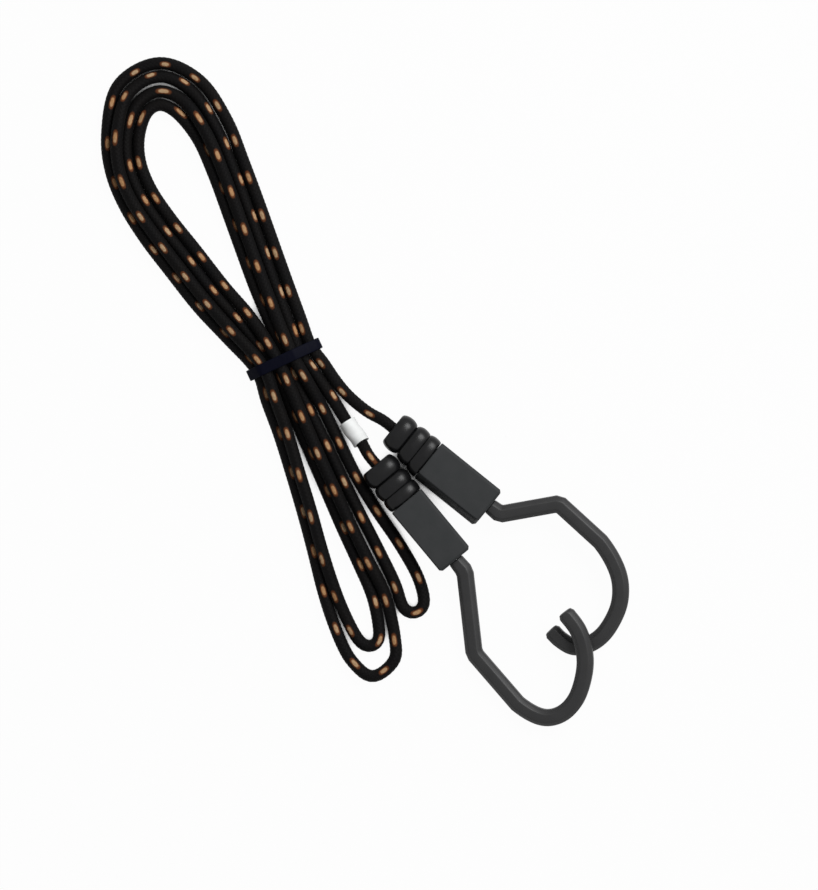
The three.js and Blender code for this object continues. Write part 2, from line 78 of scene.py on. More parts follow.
# Each station of the guide midway between the strands: x, y, half the distance between the
# strands, and the lift of the right-hand strand and of the left-hand one
stations = np.array([
    # up the right side, outermost
    [-69.6, 59.6, beside, tie_lift, tie_lift], [-74.2, 72, beside, 0.7, 0.7],
    [-80.8, 90, beside, 0, 0], [-86.9, 107.1, beside, 0, 0], [-92.9, 123.9, beside, 0, 0],
    [-100.2, 143.5, beside, 0, 0], [-107.6, 161.5, apart, 0, 0],
    # over the top
    [-119.6, 178.9, apart, 0, 0], [-135.3, 185.7, apart, 0, 0], [-151.3, 177.1, apart, 0, 1.4],
    # down the left side, outermost
    [-156.6, 155.8, 2.3, 0, nest_lift], [-155.3, 140.3, 1.9, 0, nest_lift],
    [-149.8, 126.2, 1.9, 0, nest_lift], [-140.3, 111.3, loose, 0, loose_lift],
    [-128.8, 96.2, loose, 0, loose_lift], [-115.7, 79.6, loose, 0, loose_lift],
    [-103.2, 65.9, 1.9, 0.5, nest_lift + 0.5], [-89.5, 50.3, nested, tie_lift, waist_nest],
    # down to the long loop and round it
    [-85.3, 37.8, 2, 0.9, 5.2], [-79.6, 22.1, 1.9, 0, nest_lift], [-74.2, 4.5, 1.8, 0, nest_lift],
    [-68.8, -13.5, 1.9, 0, nest_lift], [-64, -31.1, 2, 0, 4.2], [-59.8, -46.1, 2.5, 0, 2.8],
    [-55.2, -59.5, 3, 0, 0.5], [-49.3, -72.4, 3.7, 0, 0], [-46.1, -76.9, 4.4, 0, 0],
    [-39.8, -81, 6.8, 0, 0], [-33.6, -76.5, 5.5, 0, 0], [-32.8, -71.2, 3.6, 0, 0],
    [-33.3, -65.4, 3.2, 0, 0], [-36.6, -51, 2.8, 1.4, 0],
    # back up beside it
    [-43.7, -35.5, 2.3, 3.5, 0], [-51.1, -19.8, 2.1, 4, 0], [-58.3, -3.6, 1.9, 4.4, 0],
    [-65.7, 13.1, nested, nest_lift, 0], [-72.9, 29.7, nested, nest_lift + 0.4, 0.4],
    [-83.15, 53.27, nested, waist_nest, tie_lift],
    # up the left side, innermost
    [-95.9, 71.9, 2.7, 3, 0.5], [-108, 85.8, beside, 0, 0], [-121, 102.5, beside, 0, 0],
    [-132.8, 117.3, beside, 0, 0], [-141.8, 130.7, beside, 0, 0], [-146.7, 143, beside, 0, 0],
    # under the top
    [-147.5, 155.2, beside, 0, 0], [-143, 168.6, beside, 0, 0], [-135.4, 173.1, apart, 0, 0],
    [-126.7, 169.5, apart, 0, 1.4],
    # down the right side, innermost
    [-116.6, 156.6, 2.3, 0, nest_lift], [-109.1, 140, loose, 0, loose_lift],
    [-102, 120.7, loose, 0, loose_lift], [-95.7, 103.2, loose, 0, loose_lift],
    [-89.7, 87, loose, 0.2, loose_lift + 0.2], [-76.8, 56.23, nested, tie_lift, waist_nest],
    # down to the short loop at the cord's middle
    [-71.1, 44.8, 2.4, 0.9, 4.2], [-64.5, 32.2, 2.9, 0, 0.8], [-56.9, 16.7, 2.9, 0, 0],
    [-49.2, 0.8, 3, 0, 0], [-40.7, -14.6, 3.7, 0, 0], [-31.8, -29.6, 4.8, 0, 0],
    [-23.7, -45.2, 5.4, 0, 0], [-21.2, -53.9, 5.3, 0, 0],
]) * mm

# The free stretches, from each sleeve's mouth back to the waist
mouth_run = 6 * mm
free_stretch = {
    "upper": np.array([[-40.1, 30.6, 6.3], [-45.7, 34.7, 4.7], [-51.8, 40.3, 3.5],
                       [-57.1, 47, 3], [-62, 54.4, 3.5]]) * mm,
    "lower": np.array([[-43.7, 17, 6.2], [-49.6, 25, 4.8], [-57.8, 38.2, 3.1],
                       [-65.7, 49.5, 3.5]]) * mm,
}

# How the two ends lie: the middle of each grip, its bearing, its pitch and the roll of its hook.
# The upper grip shows its right-hand side wall, which leans outwards below its top edge.
ends = {
    "upper": {"x": 0, "y": 0, "heading": -38.8, "pitch": 0, "roll": 8.6, "lean": 2.8 * mm},
    "lower": {"x": -13.036 * mm, "y": -21.799 * mm, "heading": -50.3, "pitch": 0.2, "roll": 11.5,
              "lean": 0},
}
grip_length, grip_width, grip_height = 34.5 * mm, 17.2 * mm, 15.8 * mm
sleeve_length = 21.2 * mm
mouth = -grip_length / 2 - fit_gap - sleeve_length


def laid(end, points, roll=0):
    """Points along, across and up from the middle of a grip, turned by the hook's roll about the
    grip's length, by the pitch, by the heading, and then moved to where the grip lies."""
    heading, pitch, roll = np.radians([end["heading"], end["pitch"], roll])
    about_x = np.array([[1, 0, 0], [0, np.cos(roll), -np.sin(roll)],
                        [0, np.sin(roll), np.cos(roll)]])
    about_y = np.array([[np.cos(pitch), 0, -np.sin(pitch)], [0, 1, 0],
                        [np.sin(pitch), 0, np.cos(pitch)]])
    about_z = np.array([[np.cos(heading), -np.sin(heading), 0],
                        [np.sin(heading), np.cos(heading), 0], [0, 0, 1]])
    lift = grip_height / 2 + np.sin(pitch) * grip_length / 2
    return np.asarray(points) @ (about_z @ about_y @ about_x).T + [end["x"], end["y"], lift]


def spline(points, steps):
    """A centripetal Catmull-Rom curve with that many steps to a span: the knots lie apart by the
    root of the distance between points, each point's slope comes from the spans beside it, and
    one cubic joins the two ends and slopes of a span."""
    row = np.vstack([2 * points[0] - points[1], points, 2 * points[-1] - points[-2]])
    before, start, end, after = row[:-3], row[1:-2], row[2:-1], row[3:]
    arrive, span, leave = (np.sqrt(np.linalg.norm(b - a, axis=1))[:, None]
                           for a, b in ((before, start), (start, end), (end, after)))
    out_slope = span * ((start - before) / arrive - (end - before) / (arrive + span)
                        + (end - start) / span)
    in_slope = span * ((end - start) / span - (after - start) / (span + leave)
                       + (after - end) / leave)
    start, end, out_slope, in_slope = (a[:, None] for a in (start, end, out_slope, in_slope))
    t = (np.arange(steps) / steps)[None, :, None]
    curve = (start + out_slope * t + (3 * (end - start) - 2 * out_slope - in_slope) * t ** 2
             + (2 * (start - end) + out_slope + in_slope) * t ** 3)
    return np.vstack([curve.reshape(-1, points.shape[1]), points[-1]])


def runs(path):
    """The direction of a path at each of its points, from the points before and after it."""
    step = np.gradient(path, axis=0)
    return step / np.linalg.norm(step, axis=1)[:, None]


def evenly(path, step):
    """A path's places at equal steps along it, and how far along it each one lies."""
    along = np.append(0, np.cumsum(np.linalg.norm(np.diff(path, axis=0), axis=1)))
    places = np.linspace(0, along[-1], int(round(along[-1] / step)) + 1)
    return np.stack([np.interp(places, along, axis) for axis in path.T], 1), places


def strand(side):
    """One strand of the doubled cord: the guide's stations moved by half the strands' distance
    square to the guide, which runs from each station's neighbour before to the one after."""
    x, y, half, right_lift, left_lift = stations.T
    guide = np.stack([x, y], 1)
    edge = np.vstack([guide[:1], guide, guide[-1:]])
    run = edge[2:] - edge[:-2]
    run /= np.linalg.norm(run, axis=1)[:, None]
    lift = right_lift if side > 0 else left_lift
    return np.stack([x + side * half * run[:, 1], y - side * half * run[:, 0],
                     cord_radius + lift], 1)


def middle_turn():
    """The half turn at the cord's middle: points on a half circle round the guide's end."""
    x, y, half = stations[-1, :3]
    run = stations[-1, :2] - stations[-2, :2]
    run /= np.linalg.norm(run)
    turn = np.radians([-60, -30, 0, 30, 60])
    along, across = half * np.cos(turn), half * np.sin(turn)
    return np.stack([x + run[0] * along - run[1] * across, y + run[1] * along + run[0] * across,
                     np.full(5, cord_radius)], 1)


def stretch(name):
    """The free stretch of one end: straight out of the sleeve's mouth, then down to the waist."""
    start = laid(ends[name], [[mouth - fit_gap, 0, 0], [mouth - mouth_run, 0, 0]])
    return np.vstack([start, free_stretch[name]])


route_steps = 40
route = spline(np.vstack([stretch("upper"), strand(1), middle_turn(), strand(-1)[::-1],
                          stretch("lower")[::-1]]), route_steps)
route[:, 2] = np.maximum(route[:, 2], cord_radius)

# The braid: 8 yarns each way cross under 45 degrees, so a ring of points every third of a yarn
# puts each furrow between two yarns on a diagonal row of points. The soft yarns stand proud of
# the solid cord and fill the gaps between its runs, except near the sleeves.
yarns = 8
sides = 3 * yarns
furrow_depth = 0.2 * mm
stand_proud, flat_start, proud_rise = 0.2 * mm, 3 * mm, 30 * mm
ring_step = np.pi * cord_diameter / sides
tucked_in = 1.2 * mm
ease_rounds = 20


def full_turn(count):
    """Equal angles once round, in radians."""
    return np.linspace(0, 2 * np.pi, count, endpoint=False)


def ring_grid(centres, radius):
    """Points round a path: at each place of it, a circle in the plane square to the run, counted
    from straight up towards the right-hand side. radius is a number or an array of each point."""
    run = runs(centres)
    right = np.stack([run[:, 1], -run[:, 0], np.zeros(len(run))], 1)
    right /= np.linalg.norm(right, axis=1)[:, None]
    up = np.cross(right, run)
    turn = full_turn(sides)
    out = (up[:, None] * np.cos(turn)[:, None] + right[:, None] * np.sin(turn)[:, None])
    return centres[:, None] + out * np.broadcast_to(radius, out.shape[:2])[..., None]


def skin(name, grid, looped=False, maps=None, crease=40):
    """A mesh over a grid of points whose rows are closed rings. Cell (i, j) is the face with
    corners (i, j), (i, j+1), (i+1, j+1), (i+1, j). Where looped, the last row joins the first,
    and otherwise each end gets a flat cap. The faces are turned round if the volume that they
    enclose, a sixth of the sum of their corners' triple products, comes out negative. maps gives
    the two map coordinates of row i and column j, counted on past the seam."""
    rows, columns = grid.shape[:2]
    points = grid.reshape(-1, 3)
    i, j = (k.ravel() for k in np.meshgrid(np.arange(rows if looped else rows - 1),
                                           np.arange(columns), indexing="ij"))
    row = np.stack([i, i, i + 1, i + 1], 1)
    column = np.stack([j, j + 1, j + 1, j], 1)
    faces = row % rows * columns + column % columns
    corner = points[faces]
    volume = (np.einsum("ij,ij->", corner[:, 0], np.cross(corner[:, 1], corner[:, 2]))
              + np.einsum("ij,ij->", corner[:, 0], np.cross(corner[:, 2], corner[:, 3])))
    if volume < 0:
        faces, row, column = faces[:, ::-1], row[:, ::-1], column[:, ::-1]
    caps = []
    if not looped:
        caps = [np.arange(columns), np.arange(columns) + (rows - 1) * columns]
        caps = [cap[::-1] if (volume > 0) == (place == 0) else cap
                for place, cap in enumerate(caps)]
    mesh = bpy.data.meshes.new(name)
    mesh.from_pydata(points.tolist(), [], faces.tolist() + [cap.tolist() for cap in caps])
    for layer, place in (maps or {}).items():
        uv = mesh.uv_layers.new(name=layer)
        flat = np.zeros((len(mesh.loops), 2), np.float32)
        flat[:faces.size] = place(row, column).reshape(-1, 2)
        uv.data.foreach_set("uv", flat.ravel())
    mesh.polygons.foreach_set("use_smooth", np.ones(len(mesh.polygons), bool))
    mesh.set_sharp_from_angle(angle=np.radians(crease))
    mesh.update()
    return mesh


def fasten(name, mesh, finish, slot, body, *nodes):
    """Puts a piece into the scene in its finish, on its body, in place of its CAD nodes."""
    piece = bpy.data.objects.new(name, mesh)
    bpy.context.scene.collection.objects.link(piece)
    mesh.materials.append(finish.material)
    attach(piece, body)
    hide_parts(*nodes)
    return piece


# The strand shows from just inside one sleeve to just inside the other. Its path is eased a
# little: each place of it goes a few times part of the way to the mean of its neighbours.
ends_of_route = np.stack([route[0] - runs(route)[0] * tucked_in,
                          route[-1] + runs(route)[-1] * tucked_in])
path, along = evenly(np.vstack([ends_of_route[:1], route, ends_of_route[1:]]), ring_step)
for _ in range(ease_rounds):
    path[1:-1] = (path[:-2] + 2 * path[1:-1] + path[2:]) / 4
from_sleeve = np.minimum(along, along[-1] - along)
proud = stand_proud * np.clip((from_sleeve - flat_start) / proud_rise, 0, 1)
path[:, 2] = np.maximum(path[:, 2], cord_radius) + proud
from_middle = along - along[-1] / 2

# The flecks: one float of orange yarn about every 18 mm, and one on the far side half way between
# two. The cord is pulled a little more in some runs than in others, and it twists as it is folded:
# each row is a place in mm from the middle, the count of flecks there and their turn to the right
flecks = np.array([
    [-1077, -60.63, -0.016], [-1030, -57.75, -0.073], [-940, -52.76, -0.016],
    [-905, -50.78, -0.028], [-889, -49.78, -0.026], [-859, -47.76, -0.042], [-820, -45.7, -0.019],
    [-780, -43.45, 0], [-750, -41.63, -0.047], [-719, -39.75, -0.058], [-695, -38.27, -0.048],
    [-668, -36.85, -0.038], [-600, -33.15, -0.012], [-556, -30.71, -0.021], [-530, -29.07, -0.022],
    [-491, -26.99, -0.044], [-383, -21.01, 0.003], [-350, -19.01, 0.027], [-300, -16.02, -0.015],
    [-278, -14.78, -0.044], [-222, -12.07, -0.106], [-150, -8.06, -0.093], [-60, -3.04, -0.009],
    [-8, -0.08, 0.045], [8.5, 0.87, 0.02], [150, 8.91, -0.025], [256, 14.89, 0.046],
    [278, 15.93, 0.009], [319, 17.78, -0.064], [371, 20.77, -0.074], [437, 24.77, -0.047],
    [547, 30.81, -0.042], [618, 34.92, -0.086], [674, 37.77, -0.004], [728, 40.77, -0.024],
    [777, 43.82, -0.026], [812, 45.84, -0.019], [851, 47.8, -0.053], [881, 49.78, -0.095],
    [897, 50.82, -0.103], [968, 54.89, -0.132], [1022, 57.79, -0.112], [1077, 61.13, -0.022],
])
fleck_count, fleck_turn = (np.interp(from_middle / mm, flecks[:, 0], column)
                           for column in flecks.T[1:])

row, column = np.meshgrid(np.arange(len(path)), np.arange(sides), indexing="ij")
furrow = 0.5 * ((row + column) % 3 == 0) + 0.5 * ((row - column) % 3 == 0)
braid = cord_radius + proud[:, None] - furrow_depth * furrow
cord_mesh = skin("cord", ring_grid(path, braid), crease=180, maps={
    "braid": lambda row, column: np.stack([(column + row) / 3, (column - row) / 3], -1),
    "flecks": lambda row, column: np.stack([column / sides - fleck_turn[row],
                                            fleck_count[row]], -1),
})


class Signal:
    """A socket of a finish that carries a number. Sums on it add Math nodes to the finish."""

    def __init__(self, finish, socket):
        self.finish, self.socket = finish, socket

    def math(self, operation, *values):
        return self.finish.add("ShaderNodeMath", {"operation": operation},
                               dict(enumerate([self, *values])))

    def other(self, output):
        """Another output of the node that this one comes from."""
        return Signal(self.finish, self.socket.node.outputs[output])

    def __add__(self, value):
        return self.math("ADD", value)

    def __sub__(self, value):
        return self.math("SUBTRACT", value)

    def __mul__(self, value):
        return self.math("MULTIPLY", value)

    def __truediv__(self, value):
        return self.math("DIVIDE", value)

    def __pow__(self, value):
        return self.math("POWER", value)

    def __rsub__(self, value):
        return self.finish.add("ShaderNodeMath", {"operation": "SUBTRACT"}, {0: value, 1: self})

    __radd__, __rmul__ = __add__, __mul__


class Finish:
    """A material, put together node by node."""

    def __init__(self, name):
        self.material = bpy.data.materials.new(name)
        self.material.use_nodes = True
        self.material.node_tree.nodes.clear()

    def add(self, kind, settings=(), sockets=(), output=0):
        """Adds a node, gives it its settings, then gives its sockets their values or links, and
        returns one of its outputs, or the node itself where it has none."""
        node = self.material.node_tree.nodes.new(kind)
        for name, value in dict(settings).items():
            setattr(node, name, value)
        for name, value in dict(sockets).items():
            if isinstance(value, Signal):
                self.material.node_tree.links.new(value.socket, node.inputs[name])
            else:
                node.inputs[name].default_value = value
        return Signal(self, node.outputs[output]) if len(node.outputs) else node

    def map(self, name):
        """The two coordinates of one of the piece's own maps."""
        place = self.add("ShaderNodeUVMap", {"uv_map": name})
        across = self.add("ShaderNodeSeparateXYZ", sockets={0: place})
        return across, across.other(1)

    def place(self):
        """Where a point lies on the object, in metres."""
        return self.add("ShaderNodeTexCoord", output="Object")

    def grain(self, size, detail=2, roughness=0.5):
        """Noise from 0 to 1 whose clouds are about that large."""
        return self.add("ShaderNodeTexNoise", sockets={
            "Vector": self.place(), "Scale": 1 / size, "Detail": detail, "Roughness": roughness})

    def blend(self, share, first, second):
        """A colour between two, by a share from 0 to 1."""
        return self.add("ShaderNodeMix", {"data_type": "RGBA"},
                        {0: share, 6: first, 7: second}, output=2)

    def step(self, value, low, high):
        """A soft step from 0 below low to 1 above high."""
        return self.add("ShaderNodeMapRange", {"interpolation_type": "SMOOTHSTEP"},
                        {"Value": value, "From Min": low, "From Max": high})

    def relief(self, height, depth):
        """The surface's direction under a relief of that depth in metres."""
        return self.add("ShaderNodeBump", sockets={"Height": height, "Distance": depth,
                                                   "Strength": 1})

    def surface(self, **sockets):
        """Gives the finish its surface, whose sockets are named in small letters."""
        names = {name.lower().replace(" ", "_"): name for name in (
            "Base Color", "Roughness", "Metallic", "Specular IOR Level", "Sheen Weight",
            "Sheen Roughness", "Normal")}
        shader = self.add("ShaderNodeBsdfPrincipled",
                          sockets={names[name]: value for name, value in sockets.items()})
        self.add("ShaderNodeOutputMaterial", sockets={"Surface": shader})


# The sheath: each yarn of four threads goes over one yarn and under the next. Where an orange
# float comes up, the yarns beside it are rusty.
black_yarn = (0.0012, 0.0013, 0.0018, 1)
brown_black_yarn = (0.0035, 0.0028, 0.0024, 1)
rust_yarn = (0.11, 0.036, 0.013, 1)
orange_yarn = (0.38, 0.19, 0.075, 1)
tan_yarn = (0.42, 0.31, 0.19, 1)
threads = 4
fleck_half_width = 0.052
fleck_half_length = 0.118
fleck_squareness, fleck_raggedness = 2.6, 0.3
rust_start, rust_full = -2.6, 0.2

sheath = Finish("woven_sheath")
one_way, other_way = sheath.map("braid")
over = ((one_way.math("FLOOR") + other_way.math("FLOOR")) * 0.5).math("FRACT") * 2
thread = [(way * (np.pi * threads)).math("SINE").math("ABSOLUTE") for way in (one_way, other_way)]
crown = [(way.math("FRACT") * np.pi).math("SINE") for way in (one_way, other_way)]
thread = thread[0] * over + thread[1] * (1 - over)
crown = crown[0] * over + crown[1] * (1 - over)
around, count = sheath.map("flecks")


def fleck(turned):
    """How deep a place lies in a float of coloured yarn: 1 less the sum of one power of its
    shares of the float's half width and half length, and a little more where a thread stands up.
    turned is half a turn and half a count for the far side."""
    across = ((around + 0.5 - turned).math("FRACT") - 0.5) / fleck_half_width
    length = ((count + 0.5 - turned).math("FRACT") - 0.5) / fleck_half_length
    return (1 - across.math("ABSOLUTE") ** fleck_squareness
            - length.math("ABSOLUTE") ** fleck_squareness + fleck_raggedness * thread)


fleck_depth = fleck(0).math("MAXIMUM", fleck(0.5))
streaks = sheath.grain(0.6 * mm, detail=3)
patches = sheath.step(sheath.grain(14 * mm), 0.35, 0.65)
yarn = sheath.blend(sheath.grain(9 * mm), black_yarn, brown_black_yarn)
yarn = sheath.blend(sheath.step(fleck_depth, rust_start, rust_full), yarn, rust_yarn)
float_yarn = sheath.blend(patches * 0.6 + streaks * 0.4, orange_yarn, tan_yarn)
sheath.surface(
    base_color=sheath.blend(sheath.step(fleck_depth, 0.0, 0.7) * (0.6 + 0.4 * thread), yarn,
                            float_yarn),
    roughness=0.74 - 0.16 * crown,
    sheen_weight=0.01, sheen_roughness=0.4, specular_ior_level=0.06,
    normal=sheath.relief(0.65 * crown + 0.35 * thread, 0.12 * mm))

cord = fasten("cord", cord_mesh, sheath, "sheath", "folded_cord",
              "cord_hank", "cord_lead_upper", "cord_lead_lower")

# The tie: a thin strip of dull black plastic drawn tight round the waist of the hank.
# Its section is a flat oblong with rounded edges, and it goes once round all the strands.
tie_width = 5 * mm
waist_reach = 30 * mm
tie_facets = 160
tie_edge = 0.38 * mm


def waist():
    """The middle of the waist, and the directions across it and along the cord."""
    lanes = stations[np.isclose(stations[:, 3:].min(1), tie_lift * mm), :2]
    across = (lanes[0] - lanes[1]) / np.linalg.norm(lanes[0] - lanes[1])
    return lanes.mean(0), across, np.array([across[1], -across[0]])


def oblong(width, height, rounding, steps=4):
    """Points round an oblong whose corners are quarter circles, from the right-hand side up."""
    turn = np.radians(np.linspace(0, 90, steps + 1)[None] + 90 * np.arange(4)[:, None])
    corner = np.array([[1, 1], [-1, 1], [-1, -1], [1, -1]])
    middle = corner * [width / 2 - rounding, height / 2 - rounding]
    arc = np.stack([np.cos(turn), np.sin(turn)], -1) * rounding
    return (middle[:, None] + arc).reshape(-1, 2)


waist_middle, waist_across, waist_along = waist()
offset = path[:, :2] - waist_middle
held = (abs(offset @ waist_along) < tie_width) & (np.linalg.norm(offset, axis=1) < waist_reach)
strands = np.stack([offset[held] @ waist_across, path[held, 2]], 1)
turn = full_turn(tie_facets)
outward = np.stack([np.cos(turn), np.sin(turn)], 1)
furthest = strands[(strands @ outward.T).argmax(0)]
tie_section = oblong(tie_width, tie_thickness, tie_edge)
tie_middle = cord_radius + tie_gap + tie_thickness / 2
reach = furthest[:, None] + outward[:, None] * (tie_middle + tie_section[:, 1, None])
tie_grid = np.empty((tie_facets, len(tie_section), 3))
tie_grid[..., :2] = (waist_middle + reach[..., :1] * waist_across
                     + tie_section[:, 0, None] * waist_along)
tie_grid[..., 2] = reach[..., 1]

black_plastic = Finish("tie_plastic")
scuffs = black_plastic.grain(1.5 * mm, detail=4)
black_plastic.surface(
    base_color=black_plastic.blend(scuffs, (0.001, 0.0013, 0.004, 1), (0.002, 0.0022, 0.007, 1)),
    roughness=0.45 + 0.2 * scuffs, specular_ior_level=0.03,
    normal=black_plastic.relief(black_plastic.grain(2.5 * mm), 0.15 * mm))
tie = fasten("hank_tie_strip", skin("hank_tie_strip", tie_grid, looped=True), black_plastic,
             "tie", "folded_cord", "hank_tie")

# The label: a plain white tape wrapped once round the lower free stretch near its mouth. Three
# shallow creases wind along it.
label_length, label_from_mouth = 12.6 * mm, 11.1 * mm
label_radius, label_bore = 4 * mm, 2.9 * mm
crease_count, crease_twist, crease_depth, crease_inset = 3, 9, 0.12 * mm, 0.1 * mm

label_end = along[-1] - tucked_in - label_from_mouth
label_rows = np.flatnonzero((along > label_end - label_length) & (along < label_end))
label_path = path[label_rows]
share = np.linspace(0, 1, len(label_rows))
creases = crease_depth * np.sin(crease_count * full_turn(sides) + crease_twist * share[:, None])
outer = ring_grid(label_path, label_radius - crease_inset + creases)
inner = ring_grid(label_path, label_bore)
white_tape = Finish("label_tape")
fibres = white_tape.grain(0.35 * mm, detail=4)
white_tape.surface(
    base_color=white_tape.blend(white_tape.grain(4 * mm), (0.74, 0.75, 0.74, 1),
                                (0.58, 0.59, 0.59, 1)),
    roughness=0.55 + 0.2 * fibres, normal=white_tape.relief(fibres, 0.05 * mm))
label = fasten("label_tape", skin("label_tape", np.vstack([outer, inner[::-1]]), looped=True),
               white_tape, "label", "folded_cord", "label_band")

# The two ribbed sleeves: soft black rubber, pushed over the spigot of each grip, with three round
# ribs and a bore that the cord comes out of.
sleeve_width, sleeve_height = 17.8 * mm, 15.4 * mm
rib_lengths = np.array([8.4, 6.9, 5.9]) * mm
groove_depths, mouth_inset = np.array([1.9, 1.9, 1.0, 0.8]) * mm, 0.1 * mm
squareness = 2.7
spigot_length, spigot_radius = 7 * mm, 5.2 * mm
rib_rings, sleeve_sides = 28, 72
lip = 0.6 * mm


def superellipse(half_width, half_height, power, count):
    """Points round a rounded oblong: |y / half width| and |z / half height| to that power add
    up to 1. A power of 2 gives an ellipse."""
    y, z = np.cos(full_turn(count)), np.sin(full_turn(count))
    return np.stack([half_width * np.sign(y) * abs(y) ** (2 / power),
                     half_height * np.sign(z) * abs(z) ** (2 / power)], -1)


def sleeve_grid(lean):
    """Rings from the mouth to the grip outside and back to the mouth inside. Outside, the inset is
    the nearer groove's depth less its share of the root of a sine that swells once for each rib.
    The right-hand side stands out by the lean times the square of the share of the length."""
    rib = np.append(np.repeat([0, 1, 2], rib_rings), 2)
    within = np.append(np.tile(np.linspace(0, 1, rib_rings, endpoint=False), 3), 1)
    start = np.append(0, np.cumsum(rib_lengths))
    share = (start[rib] + within * rib_lengths[rib]) / sleeve_length
    swell = abs(np.sin(within * np.pi))
    inset = (groove_depths[rib + (within > 0.5)] * (1 - np.sqrt(swell))
             + mouth_inset * (1 - share) ** 3)
    y, z = superellipse(1, 1, squareness, sleeve_sides).T
    rings = [np.column_stack([np.full(sleeve_sides, mouth + s * sleeve_length),
                              y * (sleeve_width / 2 - i + (y < 0) * lean * s ** 2),
                              z * (sleeve_height / 2 - i)]) for s, i in zip(share, inset)]
    bore, seat = cord_radius + fit_gap, spigot_radius + fit_gap
    step = -grip_length / 2 - spigot_length - fit_gap
    for x, radius in ((-grip_length / 2 - fit_gap, seat), (step, seat), (step, bore),
                      (mouth + lip, bore), (mouth, bore + lip)):
        rings.append(np.column_stack([np.full(sleeve_sides, x),
                                      superellipse(radius, radius, 2, sleeve_sides)]))
    return np.array(rings)


rubber = Finish("sleeve_rubber")
bloom = rubber.grain(3 * mm, detail=4)
pores = rubber.grain(0.25 * mm, detail=2)
rubber.surface(
    base_color=rubber.blend(bloom, (0.002, 0.002, 0.0023, 1), (0.006, 0.006, 0.0065, 1)),
    roughness=0.24 + 0.14 * bloom, specular_ior_level=0.18,
    normal=rubber.relief(0.7 * pores + 0.3 * bloom, 0.03 * mm))
for side, end in ends.items():
    fasten(f"sleeve_{side}",
           skin(f"sleeve_{side}", laid(end, sleeve_grid(end["lean"])), looped=True, crease=50),
           rubber, "sleeve", "folded_cord", f"ribbed_sleeve_{side}")

# The two grips: each is a hollow block of matt dark plastic in two half shells that meet on a
# flat joint. Its long edges and its far end are bevelled, and the near end has a spigot.
long_bevel, end_bevel, widest = 1.2 * mm, 1.1 * mm, -3.5 * mm
edge_rounding, far_top_bevel, trough_points = 0.45 * mm, 1 / 3, 25
front_wall, middle_wall, end_wall = 3 * mm, 3.2 * mm, 4.6 * mm
chamber_radius, crimp_room = 5.9 * mm, 12.1 * mm
wire_radius = 1.7 * mm


def bevelled(half_width, half_height, bevel, rounding, far_bevel=1, steps=3):
    """Points round an oblong with bevelled corners, each turn of it rounded off by a small arc
    that touches both edges, counted from the side wall that y points to. far_bevel is how much of
    the bevel the far top edge has."""
    corner = np.array([[half_width, half_height - bevel], [half_width - bevel, half_height]])
    corner = np.vstack([corner, corner[::-1] * [-1, 1], -corner, corner[::-1] * [1, -1]])
    corner[2, 0] = far_bevel * bevel - half_width
    before = np.roll(corner, 1, axis=0) - corner
    after = np.roll(corner, -1, axis=0) - corner
    before /= np.linalg.norm(before, axis=1)[:, None]
    after /= np.linalg.norm(after, axis=1)[:, None]
    t = np.linspace(0, 1, steps + 1)[None, :, None]
    arc = (1 - t) ** 2 * before[:, None] + t ** 2 * after[:, None]
    return (corner[:, None] + arc * rounding).reshape(-1, 2)


def shell_grid(upward, lean):
    """One half shell as rings along the grip. Each ring goes over the outside from one edge of the
    joint to the other, and back along the joint through a half-round trough. A row is a place, how
    far the block's outline is drawn in there, none for the round spigot, and the trough's radius;
    two rows at one place make a wall. The right-hand side leans out to its widest height."""
    half_gap, start, end = fit_gap / 2, -grip_length / 2, grip_length / 2
    bore, slit, wire_bore = cord_radius + fit_gap, 0.02 * mm, wire_radius + fit_gap
    crimp = start + front_wall
    head = crimp + crimp_room + middle_wall
    slope, r = end - end_bevel, edge_rounding
    joint_edge = 0.5 * r
    far_bevel = far_top_bevel if upward > 0 else 1
    rows = [
        (start - spigot_length, None, bore), (start, None, bore), (start, r, bore),
        (start + 0.3 * r, 0.3 * r, bore), (start + r, 0, bore), (crimp, 0, bore),
        (crimp, 0, chamber_radius), (crimp + crimp_room, 0, chamber_radius),
        (crimp + crimp_room, 0, slit), (head, 0, slit), (head, 0, chamber_radius),
        (end - end_wall, 0, chamber_radius), (end - end_wall, 0, wire_bore),
        (slope - r / 2, 0, wire_bore), (slope, 0.12 * r, wire_bore),
        (slope + 0.35 * r, 0.45 * r, wire_bore), (end - 0.35 * r, end_bevel - 0.25 * r, wire_bore),
        (end - 0.1 * r, end_bevel + 0.1 * r, wire_bore), (end, end_bevel + 0.6 * r, wire_bore),
    ]
    rings = []
    for x, inset, trough in rows:
        half = np.array([grip_width, grip_height]) / 2 - (inset or 0)
        outline = bevelled(*half, long_bevel, r, far_bevel)
        outline = outline[outline[:, 1] > 0]
        outline = np.vstack([[half[0] - joint_edge, half_gap], [half[0], half_gap + joint_edge],
                             outline, [-half[0], -widest], [-half[0], half_gap + joint_edge],
                             [joint_edge - half[0], half_gap]])
        if inset is None:
            turn = np.linspace(0, np.pi, len(outline))
            outline = np.stack([np.cos(turn), np.sin(turn)], 1) * spigot_radius
        turn = np.linspace(np.pi, 0, trough_points)
        hollow = np.stack([np.cos(turn), np.sin(turn)], 1) * trough
        ring = np.vstack([outline, hollow])
        ring[:, 1] = np.maximum(ring[:, 1], half_gap) * upward
        if inset is not None:
            heights = [-grip_height / 2, widest, grip_height / 2]
            leans = (np.arange(len(ring)) < len(outline)) & (ring[:, 0] < 0)
            ring[:, 0] -= lean * np.interp(ring[:, 1], heights, [0, 1, 0]) * leans
        rings.append(np.column_stack([np.full(len(ring), x), ring]))
    return np.array(rings)


